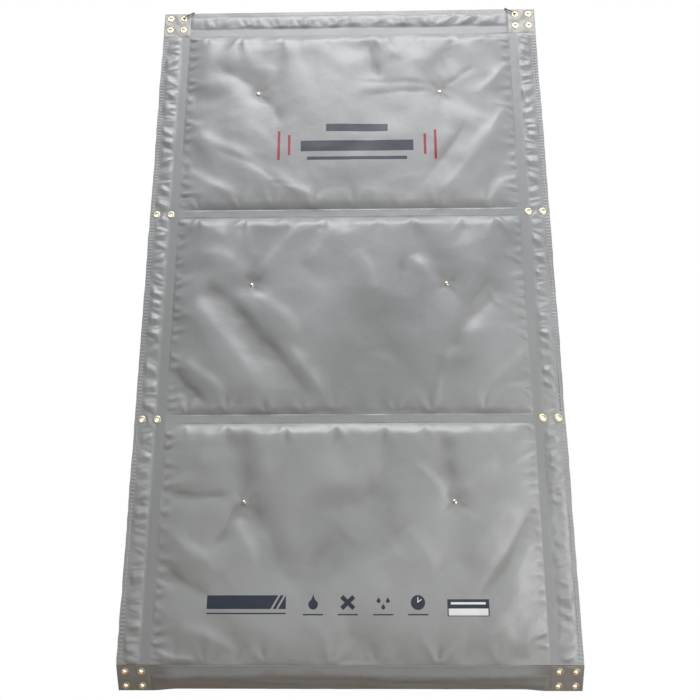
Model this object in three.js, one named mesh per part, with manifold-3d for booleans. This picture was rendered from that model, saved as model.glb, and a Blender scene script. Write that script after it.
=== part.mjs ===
// Hanging acoustic barrier blanket, in millimetres, with +Z up and the printed front facing -Y.
// Three padded pockets hang one above the other, with a flat welded strip between each two. Double
// fabric flaps run down both sides, a hem closes the top and the bottom, and eyelets sit in every
// corner and beside both strips. The flat fabric lies between y = -sheetThickness and y = 0.
// The origin is on the flat back of the top hem, at mid-width and level with the upper eyelets.

import * as THREE from "three";
import { mergeVertices } from "three/addons/utils/BufferGeometryUtils.js";
import Module from "manifold-3d";

const wasm = await Module();
wasm.setup();

// Blanket
const blanketWidth = 1200;
const hangingDrop = 20; // from the top edge down to the origin
const sheetThickness = 3; // two layers of coated fabric, welded or stitched together
const joinGap = 0.3; // between pieces that lie edge to edge

// Borders and strips
const topHemHeight = 90;
const bottomHemHeight = 74; // as cut, before it curls
const hemLean = THREE.MathUtils.degToRad(32); // the bottom hem curls back by this angle
const flapWidth = 86; // with the flat weld beside the pockets
const seamHeight = 26; // flat strip between two pockets

// Pockets
const pocketNames = ["top_pocket", "middle_pocket", "bottom_pocket"];
const pocketHeights = [616, 602, 628];
const pocketCrown = 12; // how far a pocket swells past the sheet on each face
const crownRun = 70; // distance from a seam over which it swells
const pocketCellsAcross = 14;
const pocketCellsUp = 10;

// Quilting rivets, two through each pocket
const rivetSpread = 285; // from mid-width
const rivetDrop = 217; // below the pocket's upper edge
const rivetHeadRadius = 6;
const rivetHeadHeight = 2.3;
const rivetShankRadius = 2;
const rivetPull = 4.5; // half the pocket's thickness under the heads
const dimpleRadius = 45;

// Eyelets
const eyeletInset = 20; // of the outer rows, from the blanket's edge
const lowestInset = 13; // of the lowest row, from the bottom edge
const eyeletPitch = 43;
const eyeletRadius = 11;
const eyeletHoleRadius = 6;
const barrelRadius = 7.2;
const flangeHeight = 1.6;
const bearingRing = [7.6, 9.8]; // inner and outer radius of the flat ring on each flange
const punchedRadius = 7.8; // of the hole in the fabric
const punchedTurn = 0.1; // turns the holes' corners off the line between two holes
const roundSides = 12;

// Hanging ties, through the inner upper eyelets and over the top edge
const tieRadius = 1.6;
const tieRun = 30; // how far towards mid-width a tie crosses the top edge
const tieSlack = 2.5; // between the tie and both faces of the hem where it crosses

const halfWidth = blanketWidth / 2;
const topEdge = hangingDrop;
const padTop = topEdge - topHemHeight;
const padHalfWidth = halfWidth - flapWidth;
const sheetMiddle = -sheetThickness / 2;

// Where the upper edge of each pocket lies, counted from the top.
function pocketTop(index) {
  const above = pocketHeights.slice(0, index);
  return padTop - above.reduce((sum, height) => sum + height + seamHeight, 0);
}

// Where the lower edge of each pocket lies.
function pocketFoot(index) {
  return pocketTop(index) - pocketHeights[index];
}

const padBottom = pocketFoot(pocketHeights.length - 1);

const fabric = new THREE.MeshStandardMaterial({ color: 0x9a9c9f, roughness: 0.45, metalness: 0 });
const welded = new THREE.MeshStandardMaterial({ color: 0x8f9194, roughness: 0.35, metalness: 0 });
const brass = new THREE.MeshStandardMaterial({ color: 0xd8c784, roughness: 0.3, metalness: 1 });
const steel = new THREE.MeshStandardMaterial({ color: 0xc9c9c4, roughness: 0.3, metalness: 1 });
const cordBlack = new THREE.MeshStandardMaterial({ color: 0x17171a, roughness: 0.6, metalness: 0 });

const blanket = new THREE.Group();

// The bottom hem and its corners turn back about the line where the lowest pocket ends.
const curledHem = new THREE.Group();
curledHem.position.z = padBottom;
curledHem.rotation.x = hemLean;
blanket.add(curledHem);

function addPiece(parent, name, geometry, material) {
  const mesh = new THREE.Mesh(geometry, material);
  mesh.name = name;
  parent.add(mesh);
  return mesh;
}

// A flat piece of the sheet, cut short of its neighbours, with round holes at the given places.
function sheetGeometry(left, right, bottom, top, holes = []) {
  const trim = joinGap / 2;
  const outline = new THREE.Shape();
  outline.moveTo(left + trim, bottom + trim);
  outline.lineTo(right - trim, bottom + trim);
  outline.lineTo(right - trim, top - trim);
  outline.lineTo(left + trim, top - trim);
  outline.closePath();
  for (const [x, z] of holes) {
    const fullTurn = punchedTurn + 2 * Math.PI;
    outline.holes.push(new THREE.Path().absarc(x, z, punchedRadius, fullTurn, punchedTurn, true));
  }
  const geometry = new THREE.ExtrudeGeometry(outline, {
    depth: sheetThickness,
    bevelEnabled: false,
    curveSegments: roundSides / 2,
  });
  return geometry.rotateX(Math.PI / 2);
}

function toSolid(geometry) {
  const bare = geometry.clone();
  bare.deleteAttribute("normal");
  bare.deleteAttribute("uv");
  const merged = mergeVertices(bare, 1e-3);
  return new wasm.Manifold(
    new wasm.Mesh({
      numProp: 3,
      vertProperties: merged.attributes.position.array,
      triVerts: new Uint32Array(merged.index.array),
    }),
  );
}

function toGeometry(solid) {
  const mesh = solid.getMesh();
  return new THREE.BufferGeometry()
    .setAttribute("position", new THREE.BufferAttribute(mesh.vertProperties, 3))
    .setIndex(new THREE.BufferAttribute(mesh.triVerts, 1));
}

// How far a pocket has swollen at this distance from its edge, from 0 to 1.
function swell(distance) {
  return Math.sin((Math.min(distance / crownRun, 1) * Math.PI) / 2);
}

// A double cone and the rivet's hole, taken out of a pocket where a rivet pulls its faces together.
function dimpleGeometry() {
  const reach = 2 * pocketCrown;
  const hole = rivetShankRadius + joinGap;
  const floor = rivetHeadRadius + 2;
  return new THREE.LatheGeometry(
    [
      new THREE.Vector2(0, -reach),
      new THREE.Vector2(dimpleRadius, -reach),
      new THREE.Vector2(dimpleRadius, -pocketCrown - sheetThickness),
      new THREE.Vector2(floor, -rivetPull),
      new THREE.Vector2(hole, -rivetPull),
      new THREE.Vector2(hole, rivetPull),
      new THREE.Vector2(floor, rivetPull),
      new THREE.Vector2(dimpleRadius, pocketCrown + sheetThickness),
      new THREE.Vector2(dimpleRadius, reach),
      new THREE.Vector2(0, reach),
    ],
    roundSides,
  );
}

function pocketGeometry(top, foot) {
  const halfHeight = (top - foot) / 2 - joinGap / 2;
  const halfAcross = padHalfWidth - joinGap / 2;
  const middle = (top + foot) / 2;
  const pillow = new THREE.BoxGeometry(2, 2, 2, pocketCellsAcross, 1, pocketCellsUp);
  const place = pillow.attributes.position;
  const crowded = (share) => share * (1.5 - 0.5 * share * share); // cells are closer near the edges
  for (let i = 0; i < place.count; i += 1) {
    const x = halfAcross * crowded(place.getX(i));
    const z = halfHeight * crowded(place.getZ(i));
    const crown = pocketCrown * swell(halfAcross - Math.abs(x)) * swell(halfHeight - Math.abs(z));
    const face = place.getY(i) * (sheetThickness / 2 + crown);
    place.setXYZ(i, x, sheetMiddle + face, middle + z);
  }
  let pocket = toSolid(pillow);
  for (const side of [-1, 1]) {
    const dimple = dimpleGeometry();
    dimple.translate(side * rivetSpread, sheetMiddle, top - rivetDrop);
    pocket = pocket.subtract(toSolid(dimple));
  }
  return toGeometry(pocket);
}

function rivetGeometry() {
  const seat = rivetPull + joinGap;
  const headRise = seat + rivetHeadHeight;
  const shoulder = seat + 0.8 * rivetHeadHeight;
  return new THREE.LatheGeometry(
    [
      new THREE.Vector2(0, -headRise),
      new THREE.Vector2(0.6 * rivetHeadRadius, -shoulder),
      new THREE.Vector2(rivetHeadRadius, -seat),
      new THREE.Vector2(rivetShankRadius, -seat),
      new THREE.Vector2(rivetShankRadius, seat),
      new THREE.Vector2(rivetHeadRadius, seat),
      new THREE.Vector2(0.6 * rivetHeadRadius, shoulder),
      new THREE.Vector2(0, headRise),
    ],
    roundSides,
  );
}

// A flanged ring on each face, joined by the barrel through the fabric.
function eyeletGeometry() {
  const seat = sheetThickness / 2 + joinGap;
  const crest = seat + flangeHeight;
  const lip = crest - 0.4;
  const [ringInner, ringOuter] = bearingRing;
  const profile = [
    new THREE.Vector2(eyeletHoleRadius, -lip),
    new THREE.Vector2(ringInner, -crest),
    new THREE.Vector2(ringOuter, -crest),
    new THREE.Vector2(eyeletRadius, -seat),
    new THREE.Vector2(barrelRadius, -seat),
    new THREE.Vector2(barrelRadius, seat),
    new THREE.Vector2(eyeletRadius, seat),
    new THREE.Vector2(ringOuter, crest),
    new THREE.Vector2(ringInner, crest),
    new THREE.Vector2(eyeletHoleRadius, lip),
    new THREE.Vector2(eyeletHoleRadius, -lip),
  ];
  return new THREE.LatheGeometry(profile, roundSides);
}

// A closed loop of cord: out of the eyelet, over the top edge and back down behind.
function tieGeometry(side) {
  const startX = side * (halfWidth - eyeletInset - eyeletPitch);
  const crossX = startX - side * tieRun;
  const front = -sheetThickness - joinGap - flangeHeight - 2 * tieRadius;
  const back = joinGap + flangeHeight + 2 * tieRadius;
  const clear = sheetThickness / 2 + tieSlack + tieRadius;
  const nearX = startX - side * 5;
  const nearZ = 3;
  const route = [
    new THREE.Vector3(startX, sheetMiddle, 0),
    new THREE.Vector3(nearX, front, nearZ),
    new THREE.Vector3((nearX + crossX) / 2, front, (nearZ + topEdge) / 2),
    new THREE.Vector3(crossX, sheetMiddle - clear, topEdge),
    new THREE.Vector3(crossX, sheetMiddle, topEdge + clear),
    new THREE.Vector3(crossX, sheetMiddle + clear, topEdge),
    new THREE.Vector3((nearX + crossX) / 2, back, (nearZ + topEdge) / 2),
    new THREE.Vector3(nearX, back, nearZ),
  ];
  const loop = new THREE.CatmullRomCurve3(route, true, "centripetal");
  return new THREE.TubeGeometry(loop, 40, tieRadius, 8, true);
}

function addPocketsAndSeams() {
  pocketNames.forEach((name, index) => {
    const top = pocketTop(index);
    addPiece(blanket, name, pocketGeometry(top, pocketFoot(index)), fabric);
    for (const [sideName, side] of [["left", -1], ["right", 1]]) {
      const rivet = addPiece(blanket, `${name}_${sideName}_rivet`, rivetGeometry(), steel);
      rivet.position.set(side * rivetSpread, sheetMiddle, top - rivetDrop);
    }
  });
  ["upper_seam_strip", "lower_seam_strip"].forEach((name, index) => {
    const high = pocketFoot(index);
    const low = high - seamHeight;
    addPiece(blanket, name, sheetGeometry(-padHalfWidth, padHalfWidth, low, high), welded);
  });
}

function addHems() {
  const topHem = sheetGeometry(-padHalfWidth, padHalfWidth, padTop, topEdge);
  addPiece(blanket, "top_hem", topHem, fabric);
  const bottomHem = sheetGeometry(-padHalfWidth, padHalfWidth, -bottomHemHeight, 0);
  addPiece(curledHem, "bottom_hem", bottomHem, fabric);
}

function addEyelets(parent, prefix, places) {
  places.forEach(([label, x, z]) => {
    const eyelet = addPiece(parent, `${prefix}_${label}_eyelet`, eyeletGeometry(), brass);
    eyelet.position.set(x, sheetMiddle, z);
  });
}

// A flat patch with four eyelets, two by two.
function addCorner(parent, prefix, side, bottom, top, lowRow) {
  const outer = side * (halfWidth - eyeletInset);
  const inner = outer - side * eyeletPitch;
  const highRow = lowRow + eyeletPitch;
  const places = [
    ["outer_high", outer, highRow],
    ["inner_high", inner, highRow],
    ["outer_low", outer, lowRow],
    ["inner_low", inner, lowRow],
  ];
  const edges = [side * padHalfWidth, side * halfWidth].sort((a, b) => a - b);
  const holes = places.map(([, x, z]) => [x, z]);
  addPiece(parent, `${prefix}_corner`, sheetGeometry(...edges, bottom, top, holes), welded);
  addEyelets(parent, prefix, places);
}

// One side: the flap with two eyelets beside each strip, the corners and the hanging tie.
function addSide(prefix, side) {
  const outer = side * (halfWidth - eyeletInset);
  const inner = outer - side * eyeletPitch;
  const holes = [];
  ["upper_seam", "lower_seam"].forEach((seamName, index) => {
    const height = pocketFoot(index) - seamHeight / 2;
    holes.push([outer, height], [inner, height]);
    addEyelets(blanket, `${prefix}_${seamName}`, [
      ["outer", outer, height],
      ["inner", inner, height],
    ]);
  });
  const edges = [side * padHalfWidth, side * halfWidth].sort((a, b) => a - b);
  addPiece(blanket, `${prefix}_flap`, sheetGeometry(...edges, padBottom, padTop, holes), fabric);
  addCorner(blanket, `top_${prefix}`, side, padTop, topEdge, -eyeletPitch);
  addCorner(curledHem, `bottom_${prefix}`, side, -bottomHemHeight, 0, lowestInset - bottomHemHeight);
  addPiece(blanket, `${prefix}_hanging_tie`, tieGeometry(side), cordBlack);
}

addPocketsAndSeams();
addHems();
addSide("left", -1);
addSide("right", 1);

export default blanket;
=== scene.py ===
import math

import bpy
import numpy as np
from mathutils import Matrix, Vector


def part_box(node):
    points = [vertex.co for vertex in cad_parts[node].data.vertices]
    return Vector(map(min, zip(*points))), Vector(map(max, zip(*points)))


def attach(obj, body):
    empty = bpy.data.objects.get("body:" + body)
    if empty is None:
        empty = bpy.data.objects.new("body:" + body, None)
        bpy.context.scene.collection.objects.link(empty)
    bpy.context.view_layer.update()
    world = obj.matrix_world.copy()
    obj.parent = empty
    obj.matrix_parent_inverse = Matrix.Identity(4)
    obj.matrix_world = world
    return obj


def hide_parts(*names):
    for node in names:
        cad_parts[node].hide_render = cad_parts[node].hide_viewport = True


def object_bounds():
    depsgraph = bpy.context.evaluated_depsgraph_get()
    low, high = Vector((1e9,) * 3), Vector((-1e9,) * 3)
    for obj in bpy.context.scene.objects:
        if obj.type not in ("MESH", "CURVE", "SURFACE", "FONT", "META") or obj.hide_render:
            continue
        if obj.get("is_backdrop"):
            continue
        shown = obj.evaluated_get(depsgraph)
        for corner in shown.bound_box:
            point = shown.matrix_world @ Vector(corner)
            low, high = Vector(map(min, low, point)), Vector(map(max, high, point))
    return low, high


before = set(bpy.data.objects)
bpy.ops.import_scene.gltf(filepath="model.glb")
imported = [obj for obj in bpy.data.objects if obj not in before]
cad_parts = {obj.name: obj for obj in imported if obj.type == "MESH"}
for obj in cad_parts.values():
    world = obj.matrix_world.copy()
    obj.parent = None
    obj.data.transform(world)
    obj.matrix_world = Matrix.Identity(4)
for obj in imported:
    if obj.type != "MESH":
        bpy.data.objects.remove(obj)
cadLow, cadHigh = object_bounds()
print("Frame loaded with", len(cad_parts), "nodes")


# Heights are in metres in front of the flat fabric. This one eases from 0 to 1 over a run
def rise(distance, run):
    return np.sin(np.clip(distance / run, 0, 1) * math.pi / 2)


# 1 at a distance of 0, fading to nothing; a higher power gives a flatter top
def mound(distance, width, power=2):
    return np.exp(-(distance / width) ** power)


# Averages every value with its four neighbours
def soften(field, rounds):
    for _ in range(rounds):
        wide = np.pad(field, 1, mode="edge")
        beside = wide[2:, 1:-1] + wide[:-2, 1:-1] + wide[1:-1, 2:] + wide[1:-1, :-2]
        field = (beside + wide[1:-1, 1:-1]) / 5
    return field


# Smooth random hills with a spread of 1
def hills(x, z, spacing, seed, waves=18):
    chance = np.random.default_rng(seed)
    total = np.zeros_like(x)
    for _ in range(waves):
        angle = chance.uniform(0, 2 * math.pi)
        length = spacing * chance.uniform(0.7, 1.8)
        phase = chance.uniform(0, 2 * math.pi)
        total += np.sin((x * math.cos(angle) + z * math.sin(angle)) * 2 * math.pi / length + phase)
    return total / math.sqrt(waves / 2)


# A ridge along a bowed line from one point to another, steeper on one flank, faded at both ends
def fold(x, z, line, bow):
    x0, z0, x1, z1, width, height = line
    run = math.hypot(x1 - x0, z1 - z0)
    along = ((x - x0) * (x1 - x0) + (z - z0) * (z1 - z0)) / run**2
    off = ((x - x0) * (z1 - z0) - (z - z0) * (x1 - x0)) / run - 4 * bow * along * (1 - along)
    off = off + 0.003 * np.sin(7 * along + 40 * x0)
    flank = width * np.where(off * np.sign(x1 - x0) < 0, 1.30, 0.72)
    ends = rise(along, 0.3) * rise(1 - along, 0.45)
    ends[(along < 0) | (along > 1)] = 0
    uneven = 1 + 0.22 * np.sin(11 * along + 30 * z0)
    sharpness = 1.4 if width < 0.032 else 2.0
    return height * uneven * np.exp(-np.abs(off / flank) ** sharpness) * ends


# A crease that starts narrow at a point and widens and dies away in one direction
def dart(x, z, x0, z0, angle, length, widths, height):
    along = (x - x0) * math.cos(angle) + (z - z0) * math.sin(angle)
    off = (z - z0) * math.cos(angle) - (x - x0) * math.sin(angle)
    share = np.clip(along / length, 0, 1)
    width = 1.7 * (widths[0] + (widths[1] - widths[0]) * share)
    fade = (1 - share) ** 1.3 * rise(along, 0.12 * length)
    return height * np.clip(1 - np.abs(off) / width, 0, 1) ** 1.25 * fade


def gridLines(low, high, cell):
    return np.linspace(low, high, max(2, int(round((high - low) / cell)) + 1))


# Lines that lie closer together near both ends, where the cloth is gathered
def closerAtEnds(low, high, cell, endCell, reach):
    ends = gridLines(0, reach, endCell)
    middle = gridLines(low + reach, high - reach, cell)
    return np.concatenate([low + ends[:-1], middle, (high - ends[:-1])[::-1]])


# The numbers of a grid's points, and the four points of each of its cells
def gridCells(shape):
    index = np.arange(shape[0] * shape[1]).reshape(shape)
    return index, np.stack([index[:-1, :-1], index[1:, :-1], index[1:, 1:], index[:-1, 1:]], -1)


def sceneObject(name, data):
    item = bpy.data.objects.new(name, data)
    bpy.context.scene.collection.objects.link(item)
    return item


# A front and a back skin on one grid, closed by a wall round every edge; cut is the flat cloth
def shellObject(name, front, back, cut, fields, keep=None):
    index, corners = gridCells(front.shape[:2])
    cells = corners.reshape(-1, 4) if keep is None else corners[keep]
    backOffset = index.size
    starts = cells.reshape(-1)
    ends = np.roll(cells, -1, axis=1).reshape(-1)
    loose = ~np.isin(starts * backOffset + ends, ends * backOffset + starts)
    a, b = starts[loose], ends[loose]
    wall = np.stack([b, a, a + backOffset, b + backOffset], -1)
    faces = np.concatenate([cells, cells[:, ::-1] + backOffset, wall])
    used, compact = np.unique(faces, return_inverse=True)
    faces = compact.reshape(faces.shape)
    points = np.concatenate([front.reshape(-1, 3), back.reshape(-1, 3)])[used]
    mesh = bpy.data.meshes.new(name)
    mesh.from_pydata(points.tolist(), [], faces.tolist())
    mesh.update()
    flat = np.concatenate([cut.reshape(-1, 2), cut.reshape(-1, 2)])[used]
    layer = mesh.uv_layers.new(name="cut")
    layer.data.foreach_set("uv", flat[faces.reshape(-1)].astype(np.float32).reshape(-1))
    for label, (frontField, backField) in fields.items():
        values = np.concatenate([frontField.reshape(-1), backField.reshape(-1)])[used]
        attribute = mesh.attributes.new(label, "FLOAT", "POINT")
        attribute.data.foreach_set("value", values.astype(np.float32))
    mesh.shade_smooth()
    mesh.set_sharp_from_angle(angle=math.radians(48))
    return sceneObject(name, mesh)


# Valleys read above zero and crests below, for painted shade in the creases and painted highlights on
# the crests
def valleys(height, rounds=14):
    return np.clip((soften(height, rounds) - height) / 0.0012, -1, 1)


# Cells inside the eyelet holes go, and the ring of vertices round each hole moves onto a circle
def cutHoles(x, z, holes, radius):
    middleX = (x[:-1, :-1] + x[1:, 1:]) / 2
    middleZ = (z[:-1, :-1] + z[1:, 1:]) / 2
    keep = np.ones(middleX.shape, bool)
    for holeX, holeZ in holes:
        keep &= np.hypot(middleX - holeX, middleZ - holeZ) > radius
    for holeX, holeZ in holes:
        gone = ~keep & (np.hypot(middleX - holeX, middleZ - holeZ) <= radius)
        lost = np.zeros(x.shape, int)
        kept = np.zeros(x.shape, int)
        for i, j in ((0, 0), (0, 1), (1, 0), (1, 1)):
            lost[i:i + gone.shape[0], j:j + gone.shape[1]] += gone
            kept[i:i + gone.shape[0], j:j + gone.shape[1]] += keep
        ring = (lost > 0) & (kept > 0)
        away = np.maximum(np.hypot(x - holeX, z - holeZ), 1e-6)
        x[ring] = (holeX + (x - holeX) * radius / away)[ring]
        z[ring] = (holeZ + (z - holeZ) * radius / away)[ring]
    return keep


def middleOf(node):
    low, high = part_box(node)
    return (low + high) / 2


# Where things are, from the frame
pocketNames = ["top_pocket", "middle_pocket", "bottom_pocket"]
stripNames = ["upper_seam_strip", "lower_seam_strip"]
sides = {"left": -1, "right": 1}
cornerEyelets = ["outer_high", "inner_high", "outer_low", "inner_low"]

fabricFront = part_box("top_hem")[0].y
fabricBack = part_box("top_hem")[1].y
joinGap = 0.00015  # each neighbour grows by this to close the frame's gaps
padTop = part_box("top_pocket")[1].z + joinGap
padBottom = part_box("bottom_pocket")[0].z - joinGap
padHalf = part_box("top_pocket")[1].x + joinGap
hemHigh = middleOf("bottom_left_outer_high_eyelet")
hemLow = middleOf("bottom_left_outer_low_eyelet")
hemLean = math.atan2(hemLow.y - hemHigh.y, hemHigh.z - hemLow.z)
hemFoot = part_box("bottom_hem")[0]
hemLength = (padBottom - hemFoot.z) / math.cos(hemLean)


# Places on both faces of the flat fabric, lifted off it by the two skins' heights
def flatFaces(x, z, skins, sway=0.0):
    front = np.stack([x, fabricFront - skins[0] + sway, z], -1)
    back = np.stack([x, fabricBack + skins[1] + sway, z], -1)
    return front, back


# 0 at the eyelets' holes and 1 past their reach, to keep the cloth flat under the brass
def calmRound(x, z, holes, reach):
    calm = np.ones_like(x)
    for holeX, holeZ in holes:
        calm *= 1 - mound(np.hypot(x - holeX, z - holeZ), reach, 6)
    return calm


# Padded pockets: each front is a slack skin over soft filling
pocketLook = {
    "cell": 0.0050,
    "endCell": 0.0029,
    "endReach": 0.075,
    "crown": 0.0115,
    "broadHills": (0.34, 0.0012),
    "smallHills": (0.13, 0.0005),
    "belly": {"top_pocket": 0.22, "middle_pocket": 0.35, "bottom_pocket": 0.10},
    "bellyRun": 0.42,
    "backBelly": 0.3,
    "mostRise": 0.0215,
    "sideRun": 0.080,
    "topRun": 0.034,
    "footRun": {"top_pocket": 0.027, "middle_pocket": 0.025, "bottom_pocket": 0.10},
    "backFootRun": 0.05,
    "crumple": 0.0010,
    "crumpleSpacing": (0.30, 0.12),
    "creaseRun": 0.012,
    "weldEdge": 0.0035,
    "sealedEdge": 0.002,
    "foldGain": {"top_pocket": 1.0, "middle_pocket": 1.45, "bottom_pocket": 1.35},
    "dartPitch": 0.034,
    "dartEnd": 0.012,
    "dartHeight": 0.0050,
    "dartLength": (0.03, 0.09),
    "dartWidths": (0.0040, 0.015),
    "pleatGap": 0.013,
    "pleatTurn": 0.15,
    "pleatShare": 0.7,
    "pleatWidths": (0.0024, 0.009),
    "cuspPitch": (0.08, 0.17),
    "cuspEnds": (0.06, 0.05),
    "cuspHeight": 0.0040,
    "cuspLength": (0.04, 0.09),
    "cuspWidths": (0.004, 0.019),
    "rivetSeat": 0.0033,
    "rivetRim": 0.009,
    "dimple": 0.040,
    "spokeHeight": (0.0006, 0.0020),
    "spokeLength": (0.06, 0.12),
    "spokeWidths": (0.004, 0.014),
    "besideSpoke": (0.5, 0.05, (0.003, 0.010)),
    "leastHeight": 0.0006,
    "fill": 0.35,
}

clothLook = {
    "cell": 0.008,
    "frames": 26,
    "pressure": 0.5,
    "growth": 0.010,
    "quality": 6,
    "mass": 0.3,
    "stretching": 15,
    "shearing": 5,
    "bending": 20.0,
    "damping": 5,
    "bendingDamping": 0.5,
    "airDamping": 1,
    "held": 0.0065,
    "take": 0.7,
    "mostMove": 0.007,
}

# Folds of each front: from x, depth below the pocket's upper edge, to x, depth; width, height; and bow
pocketFolds = {
    "top_pocket": [
        ((-0.505, 0.360, -0.300, 0.470, 0.036, 0.0058), 0.010),
        ((-0.340, 0.450, -0.050, 0.606, 0.030, 0.0062), -0.010),
        ((-0.500, 0.480, -0.320, 0.590, 0.026, 0.0040), 0.0),
        ((-0.430, 0.400, -0.130, 0.600, 0.020, -0.0034), 0.012),
        ((-0.300, 0.195, -0.425, 0.110, 0.028, -0.0030), 0.0),
        ((-0.280, 0.215, -0.190, 0.345, 0.026, -0.0032), 0.0),
        ((-0.210, 0.060, -0.100, 0.330, 0.040, 0.0034), 0.014),
        ((-0.030, 0.050, -0.080, 0.400, 0.070, 0.0040), 0.0),
        ((0.060, 0.020, 0.115, 0.190, 0.026, -0.0056), -0.010),
        ((0.105, 0.010, 0.170, 0.110, 0.018, 0.0046), 0.0),
        ((0.010, 0.178, 0.280, 0.192, 0.008, -0.0016), 0.0),
        ((0.040, 0.228, 0.285, 0.210, 0.009, -0.0018), 0.0),
        ((0.300, 0.195, 0.400, 0.130, 0.009, -0.0020), 0.0),
        ((0.505, 0.110, 0.400, 0.235, 0.020, 0.0048), 0.0),
        ((0.500, 0.260, 0.330, 0.470, 0.024, 0.0050), 0.006),
        ((0.470, 0.330, 0.250, 0.600, 0.022, 0.0046), 0.0),
        ((0.380, 0.300, 0.210, 0.560, 0.020, -0.0036), 0.0),
        ((-0.250, 0.535, -0.150, 0.537, 0.005, -0.0012), 0.0),
    ],
    "middle_pocket": [
        ((-0.285, 0.195, -0.125, 0.005, 0.026, 0.0048), 0.0),
        ((-0.135, 0.160, -0.025, 0.020, 0.026, 0.0038), 0.0),
        ((-0.450, 0.110, -0.290, 0.185, 0.030, 0.0034), 0.014),
        ((-0.425, 0.210, -0.250, 0.370, 0.032, -0.0056), 0.0),
        ((-0.300, 0.330, -0.090, 0.575, 0.036, -0.0060), 0.0),
        ((-0.455, 0.255, -0.215, 0.575, 0.040, 0.0060), -0.010),
        ((-0.300, 0.235, -0.130, 0.395, 0.030, 0.0050), 0.012),
        ((-0.170, 0.400, -0.060, 0.560, 0.024, 0.0034), 0.0),
        ((-0.505, 0.470, -0.385, 0.590, 0.024, -0.0050), 0.0),
        ((-0.470, 0.440, -0.330, 0.560, 0.022, 0.0036), 0.0),
        ((0.030, 0.110, 0.085, 0.240, 0.020, 0.0042), 0.0),
        ((0.190, 0.125, 0.262, 0.225, 0.024, 0.0036), 0.0),
        ((0.160, 0.120, 0.140, 0.260, 0.030, -0.0024), 0.0),
        ((0.500, 0.050, 0.330, 0.330, 0.044, -0.0040), 0.0),
        ((0.410, 0.190, 0.210, 0.600, 0.046, -0.0056), 0.006),
        ((0.420, 0.280, 0.300, 0.450, 0.034, 0.0036), 0.0),
        ((0.050, 0.230, 0.010, 0.700, 0.125, -0.0056), 0.0),
        ((0.300, 0.400, 0.230, 0.585, 0.024, 0.0036), 0.0),
        ((0.395, 0.225, 0.450, 0.300, 0.006, 0.0014), 0.0),
    ],
    "bottom_pocket": [
        ((-0.300, 0.010, -0.275, 0.215, 0.046, -0.0040), 0.0),
        ((-0.225, 0.020, -0.215, 0.170, 0.030, 0.0030), 0.0),
        ((-0.390, 0.020, -0.395, 0.150, 0.036, 0.0030), 0.0),
        ((-0.500, 0.190, -0.300, 0.203, 0.014, -0.0028), 0.0),
        ((-0.292, 0.215, -0.365, 0.350, 0.024, -0.0034), 0.0),
        ((-0.280, 0.200, -0.150, 0.430, 0.050, -0.0046), 0.0),
        ((-0.300, 0.260, -0.240, 0.400, 0.026, 0.0036), 0.0),
        ((-0.485, 0.290, -0.330, 0.410, 0.028, 0.0050), 0.0),
        ((-0.500, 0.380, -0.350, 0.470, 0.022, -0.0034), 0.0),
        ((-0.060, 0.150, -0.130, 0.430, 0.066, -0.0040), 0.0),
        ((0.030, 0.140, 0.120, 0.360, 0.080, -0.0056), 0.0),
        ((0.000, 0.300, -0.170, 0.430, 0.044, -0.0040), 0.0),
        ((0.160, 0.280, 0.230, 0.400, 0.030, 0.0034), 0.0),
        ((0.270, 0.200, 0.175, 0.100, 0.014, 0.0026), 0.0),
        ((0.285, 0.200, 0.410, 0.100, 0.018, 0.0030), 0.0),
        ((0.268, 0.040, 0.278, 0.200, 0.034, -0.0040), 0.0),
        ((0.500, 0.230, 0.330, 0.480, 0.022, -0.0044), 0.0),
        ((0.490, 0.320, 0.350, 0.520, 0.022, 0.0044), 0.0),
        ((0.440, 0.200, 0.310, 0.380, 0.026, 0.0038), 0.0),
        ((-0.450, 0.520, -0.280, 0.600, 0.030, 0.0040), 0.0),
        ((-0.508, 0.596, -0.390, 0.622, 0.012, 0.0040), 0.0),
        ((0.100, 0.400, -0.150, 0.560, 0.050, 0.0030), 0.0),
        ((0.470, 0.420, 0.330, 0.590, 0.026, 0.0034), 0.0),
    ],
}


# Gathers along both upright welds, each with a narrow pleat below it, added to the creases given
def addGathers(creases, x, z, top, foot, chance):
    look = pocketLook
    for side in (-1, 1):
        weldX = side * padHalf
        place = foot + 0.5 * look["dartPitch"]
        while place < top - look["dartEnd"]:
            angle = (math.pi if side > 0 else 0) + chance.uniform(-0.5, 0.5)
            length = chance.uniform(*look["dartLength"])
            size = look["dartHeight"] * chance.uniform(0.5, 1.25)
            creases += dart(x, z, weldX, place, angle, length, look["dartWidths"], size)
            below = place - look["pleatGap"]
            angle -= side * look["pleatTurn"]
            length *= look["pleatShare"]
            size *= look["pleatShare"]
            creases -= dart(x, z, weldX, below, angle, length, look["pleatWidths"], size)
            place += look["dartPitch"] * chance.uniform(0.72, 1.3)


# Sparse cusps along the two level welds: a hollow between two ridges
def addCusps(creases, x, z, top, foot, chance):
    look = pocketLook
    widths = look["cuspWidths"]
    for level, inward in ((top, -1), (foot, 1)):
        place = -padHalf + look["cuspEnds"][0]
        while place < padHalf - look["cuspEnds"][1]:
            middle = inward * math.pi / 2 + chance.uniform(-0.25, 0.25)
            spread = chance.uniform(0.35, 0.6)
            size = look["cuspHeight"] * chance.uniform(0.45, 1.2)
            length = chance.uniform(*look["cuspLength"])
            creases -= dart(x, z, place, level, middle, length, widths, 0.9 * size)
            for turn in (-spread, spread * chance.uniform(0.6, 1.2)):
                creases += dart(x, z, place, level, middle + turn, 1.3 * length, widths, 1.1 * size)
            place += chance.uniform(*look["cuspPitch"])


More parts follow.
